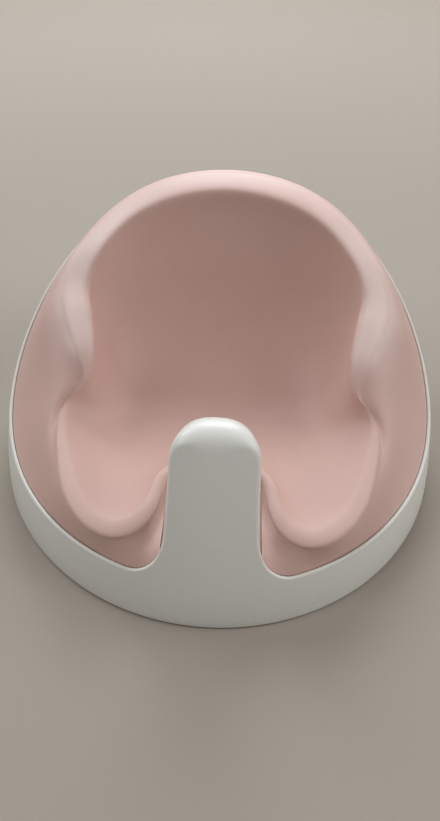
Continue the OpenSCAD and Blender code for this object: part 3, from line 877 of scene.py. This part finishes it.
class FLOOR_SEAT_OT_pommel_cover(bpy.types.Operator):
    """Build the cover that closes the back of the pommel"""
    bl_idname = "floor_seat.pommel_cover"
    bl_label = "Pommel cover"

    def execute(self, context):
        form, settings = SeatForm(context.scene), context.scene.floor_seat_shell
        inset = form.shell.wall + COVER_ROOM
        low, middle = 36.0, 95.0        # heights of its lower edge and its middle
        z = np.concatenate([np.full(10, low), np.linspace(low, form.arch_z, 24)[1:-1]])
        x = np.concatenate([np.linspace(0, 1, 11)[:-1] * (form.outline_x(form.side_z) - inset),
                            form.outline_x(np.maximum(z[10:], form.side_z)) - inset])
        arch_x, arch_z = form.arch(np.linspace(90, 0, 24), inset)
        x, z = np.append(x, arch_x), np.append(z, arch_z)

        def loop(depth, size, trim=0.0):
            near = np.clip(1 - trim / 35.0, 0, 1) * size
            px, pz = x * near, middle + (z - middle) * near
            p = form.on_front(px, pz)
            return mirrored(p - form.normal(form.angle_of(p), pz) * depth)

        back, front = form.pommel.depth, form.pommel.depth - form.pommel.cover
        rings = [loop(front, k) for k in np.linspace(0.06, 0.97, 12)]
        rings += [loop(front, 1, 0.4), loop(front + 0.3, 1)]
        for k in (0, 30, 60, 90):
            inside, up = rounded(k)
            rings.append(loop(back - EDGE * inside, 1, EDGE * up))
        rings += [loop(back, k) for k in np.linspace(0.94, 0.06, 16)]
        piece = ring_mesh("pommel_cover", rings)
        drilled(piece, [form.behind_pommel(x, SCREW_Z) for x in (-SCREW_X, SCREW_X)], SCREW_HOLE)
        look = plastic("cover_plastic", settings.colour, 0.38, 1500.0, 0.00008, settings.scuffs * 0.5)
        dress(piece, look, "shell", "shell_plastic", "pommel_back")
        return {"FINISHED"}


class FLOOR_SEAT_OT_tub(bpy.types.Operator):
    """Build the tub that carries the soft insert"""
    bl_idname = "floor_seat.tub"
    bl_label = "Tub"

    def execute(self, context):
        form, settings = SeatForm(context.scene), context.scene.floor_seat_base
        angles = np.linspace(0, 180, 121)
        radius = eased([(0, 7), (50, 9), (90, 18), (180, 18)], angles)
        t, below_rim = form.base.tub_wall, 5.0
        inner = (form.tub_in + t, radius, form.base.tub_floor + t)
        outer = (form.tub_in, radius + t, form.base.tub_floor)

        def foot(wall, turn):
            inset, r, floor = wall
            inside, up = rounded(turn)
            p = form.inside_rim(angles, inset + r * inside, 0)
            return mirrored(stacked(p[:, 0], p[:, 1], floor + r * up))

        rim_in = mirrored(form.inside_rim(angles, form.tub_in + t, below_rim))
        rim_out = mirrored(form.inside_rim(angles, form.tub_in, below_rim))
        lift = np.array([0, 0, 0.4])
        shrunk, turns = (0.1, 0.3, 0.55, 0.8), np.linspace(0, 90, 9)
        raised = (0.2, 0.4, 0.6, 0.8, 0.98)
        rings = [foot(inner, 0) * (k, k, 1) for k in shrunk]
        rings += [foot(inner, k) for k in turns]
        rings += [lerp(foot(inner, 90), rim_in, k) for k in raised]
        rings += [rim_in + lift * 0.6, lerp(rim_in, rim_out, 0.3) + lift,
                  lerp(rim_in, rim_out, 0.7) + lift, rim_out + lift * 0.6]
        rings += [lerp(foot(outer, 90), rim_out, k) for k in raised[::-1]]
        rings += [foot(outer, k) for k in turns[::-1]]
        rings += [foot(outer, 0) * (k, k, 1) for k in shrunk[::-1]]
        piece = ring_mesh("tub_liner", rings)
        self.add_bosses(piece.data, form)
        look = plastic("inner_plastic", settings.tub_colour, 0.5, 1100.0, 0.00012, 0.5)
        dress(piece, look, "shell", "inner_plastic", "seat_tub")
        return {"FINISHED"}

    def add_bosses(self, mesh, form):
        """The hollow posts that the base plate is screwed to."""
        low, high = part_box("base_plate")[1].z * 1000, form.base.tub_floor + 0.6
        bm = bmesh.new()
        bm.from_mesh(mesh)
        for side in (-1, 1):
            for x, y in BOSSES:
                lathe(bm, Matrix.Translation((side * x * 0.001, y * 0.001, 0)),
                      [(5, high), (5, low + 0.4), (4.6, low), (2.1, low), (1.7, low + 0.4),
                       (1.7, high)], ring=True)
        written(bm, mesh, 50)


def foam_top(form, u):
    """The insert's profile lines before they are smoothed: dish, bowl, roll and flank."""
    outer, inner = through(SHOULDER_OUT, u), through(SHOULDER_IN, u)
    crown = stacked(0, 0, eased(CROWN, u) / 0.8)    # a curve rises to about 0.8 of its handles
    swell, edge = eased(SWELL, u), form.foam_edge(u)
    dish = [form.pan(u, k, form.foam.pan + 0.4 + 1.6 * float(smooth(k)))
            for k in np.linspace(0.08, 0.92, DISH_ROWS)]
    brim = form.pan(u, 1, form.foam.pan + 2)
    bowl = [sweep(inner, brim, eased(BOWL, u), t) for t in np.linspace(1, 0, 80)]
    roll = [bezier(outer, lerp(outer, inner, swell[:, :1]) + crown,
                   lerp(outer, inner, swell[:, 1:]) + crown, inner, t) for t in np.linspace(1, 0, 60)]
    flank = [sweep(edge, outer, eased(FLANK, u), t) for t in np.linspace(1, 0, 80)]
    flank = respaced(flank, FLANK_ROWS + 1)
    down = np.linspace(0, 1, FLANK_ROWS + 1)[:, None]
    flank[:, :, 2] += (eased(BULGE, u) * hump(down, 0.25) ** 1.5 * (1 - down ** 4)
                       - eased(CREASE, u) * hump(down, 0.07))
    rows = [*dish, *respaced(bowl, BOWL_ROWS), *respaced(roll, ROLL_ROWS + 1)[1:], *flank[1:]]
    return np.array([mirrored(r) for r in rows])


def smoothed_foam(skin, u):
    """Evens out the bowl and the flank by the notch and the arm, then rounds the wells' lips."""
    row = np.arange(len(skin))[:, None] - ROLL_START
    root, arm = all_round(window(u, 1.8, 1.2, 6, 1.5)), all_round(window(u, 7, 1.5, 13.5, 1.5))
    weight = np.maximum(smooth((-2 - row) / 16), smooth((row - 28) / 6) * root)
    weight = np.maximum(weight, smooth((row - 30) / 9) * arm)[1:-1, :, None]
    for _ in range(EVENING_PASSES):
        round_it = (np.roll(skin, 1, 1) + np.roll(skin, -1, 1) + skin * 2)[1:-1] / 4
        across = (skin[:-2] + skin[2:]) / 2
        skin[1:-1] = lerp(skin[1:-1], round_it * 0.6 + across * 0.4, weight)
    wells = all_round(1 - smooth((u - 9) / 2))[:, None]
    return softened(softened(skin, 2), WELL_PASSES, wells)


class FLOOR_SEAT_OT_foam(bpy.types.Operator):
    """Build the soft insert with its backrest, arms and leg wells"""
    bl_idname = "floor_seat.foam"
    bl_label = "Soft insert"

    def execute(self, context):
        form, settings = SeatForm(context.scene), context.scene.floor_seat_foam
        u = np.linspace(0, LAST, 8 * LAST + 1)
        skin = smoothed_foam(foam_top(form, u), u)
        over = (np.arange(len(skin)) - ROLL_START) / ROLL_ROWS
        # The crest mask: where the roll is rubbed and where its top gets a painted highlight.
        crest = [all_round(eased(RUBBED_AND_LIT, u)) * k for k in window(over, 0, 0.3, 1.8, 1.0)]
        edge, step, hip = form.foam_edge(u), form.plan(u, form.wall_in, 4), form.sole(u, 90)
        under = form.pan(u, 1, form.foam_floor)
        foot = [lerp(edge, step, 0.3) - (0, 0, 0.3), lerp(edge, step, 0.7) - (0, 0, 0.3), step]
        foot += [lerp(step, hip, k) for k in (0.25, 0.5, 0.75)]
        foot += [form.sole(u, k) for k in np.linspace(90, 0, 10)]
        foot += [lerp(form.sole(u, 0), under, k) for k in (0.1, 0.3, 0.5, 0.7, 0.9)]
        foot += [form.pan(u, k, form.foam_floor) for k in (0.8, 0.4, 0.1)]
        crest += [0] * len(foot)
        piece = ring_mesh("seat_foam", [*skin, *[mirrored(r) for r in foot]], crisp=60,
                          masks={"crest": crest})
        dress(piece, foam_skin(settings), "insert", "soft_foam", "seat_insert")
        return {"FINISHED"}


class FLOOR_SEAT_OT_fittings(bpy.types.Operator):
    """Finish the base plate, the feet and the screws"""
    bl_idname = "floor_seat.fittings"
    bl_label = "Plate, feet and screws"

    def execute(self, context):
        settings = context.scene.floor_seat_base
        paint_node("base_plate", plastic("base_plastic", settings.plate_colour, 0.5, 1100.0, 0.00012, 0.6))
        rubber, steel = foot_rubber(settings.rubber), screw_steel(settings.steel)
        for name in frame["nodes"]:
            if name.startswith("foot_"):
                paint_node(name, rubber)
            elif name.endswith("_screws"):
                paint_node(name, steel)
        return {"FINISHED"}


# Each lamp's name, diameter, place and colour. All of them point at the middle of the seat.
COOL, PLAIN = (0.95, 1.0, 1.05), (1.0, 1.0, 1.0)
LAMPS = [
    ("window", 2.4, (0, 3.0, 1.2), COOL),
    ("high", 1.6, (0, 2.6, 2.3), COOL),
    ("left", 1.6, (-1.9, 1.9, 2.2), COOL),
    ("right", 1.8, (2.4, 0.3, 1.4), PLAIN),
    ("over_left", 1.6, (-1.8, -0.2, 2.2), PLAIN),
    ("over_right", 1.6, (1.8, -0.2, 2.2), PLAIN),
    ("front", 1.8, (0, -2.4, 1.0), PLAIN)]


class FLOOR_SEAT_OT_stage(bpy.types.Operator):
    """Set the floor, the lights and the camera"""
    bl_idname = "floor_seat.stage"
    bl_label = "Floor, lights and camera"

    def execute(self, context):
        scene, settings = context.scene, context.scene.floor_seat_stage
        self.lay_floor(settings)
        for name, size, place, colour in LAMPS:
            self.light(name + "_light", getattr(settings, name), size, place, colour)
        self.light_world(scene, settings)
        self.place_camera(scene, settings)
        scene.view_settings.view_transform = "Standard"
        return {"FINISHED"}

    def lay_floor(self, settings):
        """A round floor that fades out towards its edge."""
        rings = [circle(radius, 0, 96) for radius in (0, 400, 1000, 2200)]
        floor = ring_mesh("floor", rings, capped=False)
        material, tree, surface = start_material("floor", 0.9, Specular_IOR_Level=0.2)
        grain = placed(tree, moulded_grain, Waves_per_metre=5.0)
        colour = settings.floor
        far = node(tree, "VectorMath", operation="LENGTH", Vector=own_place(tree))
        feed(tree, surface,
             Base_Color=mixed(tree, grain["Mottle"], shade(colour, 0.985), shade(colour, 1.015)),
             Alpha=ramp(tree, far.outputs["Value"], interpolation_type="SMOOTHSTEP",
                        From_Min=0.9, From_Max=2.0, To_Min=1.0, To_Max=0.0))
        floor.data.materials.append(material)

    def light(self, name, strength, size, place, colour):
        lamp = bpy.data.lights.new(name, "AREA")
        lamp.shape, lamp.size, lamp.energy, lamp.color = "DISK", size, strength, colour
        holder = add_object(name, lamp)
        holder.location = place
        aim = Vector((0, 0, 0.05)) - Vector(place)
        holder.rotation_euler = aim.to_track_quat("-Z", "Y").to_euler()

    def light_world(self, scene, settings):
        """An even light from all round, with the floor's own tone where the sky is seen."""
        world = bpy.data.worlds.new("soft_sky")
        world.use_nodes = True
        tree = world.node_tree
        tree.nodes.clear()
        sky = node(tree, "Background", Color=(1.15, 1.0, 0.86, 1.0), Strength=settings.sky)
        seen = node(tree, "Background", Color=shade(settings.floor, 1.15))
        path = node(tree, "LightPath").outputs
        straight = maths(tree, "MAXIMUM", path["Is Camera Ray"],
                         maths(tree, "MAXIMUM", path["Is Glossy Ray"], path["Is Transmission Ray"]))
        mix = node(tree, "MixShader")
        for socket, value in zip(mix.inputs, (straight, sky.outputs[0], seen.outputs[0])):
            put(tree, socket, value)
        node(tree, "OutputWorld", Surface=mix.outputs[0])
        scene.world = world

    def place_camera(self, scene, settings):
        """The photograph's camera: its height and distance from the middle, and its three turns."""
        height, distance = 0.4954, 0.4481
        down, turn, roll = radians(46.0), radians(0.95), radians(2.235)
        lens = bpy.data.cameras.new("photo_camera")
        lens.sensor_width, lens.lens = 36.0, settings.lens
        lens.clip_start, lens.clip_end = 0.02, 60.0
        camera = add_object("photo_camera", lens)
        camera.matrix_world = (Matrix.Rotation(turn, 4, "Z") @ Matrix.Translation((0, -distance, height))
                               @ Matrix.Rotation(pi / 2 - down, 4, "X") @ Matrix.Rotation(roll, 4, "Z"))
        scene.camera = camera


class FLOOR_SEAT_PT_panel(bpy.types.Panel):
    """The floor seat's pieces and sizes"""
    bl_idname = "FLOOR_SEAT_PT_panel"
    bl_label = "Floor Seat"
    bl_space_type = "VIEW_3D"
    bl_region_type = "UI"
    bl_category = "Floor Seat"

    def draw(self, context):
        for operator, name, group in STEPS:
            box = self.layout.box()
            box.operator(operator.bl_idname)
            for size in group.__annotations__ if group else ():
                box.prop(getattr(context.scene, name), size)


STEPS = [
    (FLOOR_SEAT_OT_shell, "floor_seat_shell", FloorSeatShell),
    (FLOOR_SEAT_OT_pommel_cover, "floor_seat_pommel", FloorSeatPommel),
    (FLOOR_SEAT_OT_tub, "floor_seat_base", FloorSeatBase),
    (FLOOR_SEAT_OT_foam, "floor_seat_foam", FloorSeatFoam),
    (FLOOR_SEAT_OT_fittings, None, None),
    (FLOOR_SEAT_OT_stage, "floor_seat_stage", FloorSeatStage)]


def register():
    for operator, name, group in STEPS:
        if group:
            bpy.utils.register_class(group)
            setattr(bpy.types.Scene, name, PointerProperty(type=group))
        bpy.utils.register_class(operator)
    bpy.utils.register_class(FLOOR_SEAT_PT_panel)


def unregister():
    bpy.utils.unregister_class(FLOOR_SEAT_PT_panel)
    for operator, name, group in reversed(STEPS):
        bpy.utils.unregister_class(operator)
        if group:
            delattr(bpy.types.Scene, name)
            bpy.utils.unregister_class(group)


def main():
    register()
    bpy.ops.floor_seat.shell()
    bpy.ops.floor_seat.pommel_cover()
    bpy.ops.floor_seat.tub()
    bpy.ops.floor_seat.foam()
    bpy.ops.floor_seat.fittings()
    bpy.ops.floor_seat.stage()


if __name__ == "__main__":
    main()
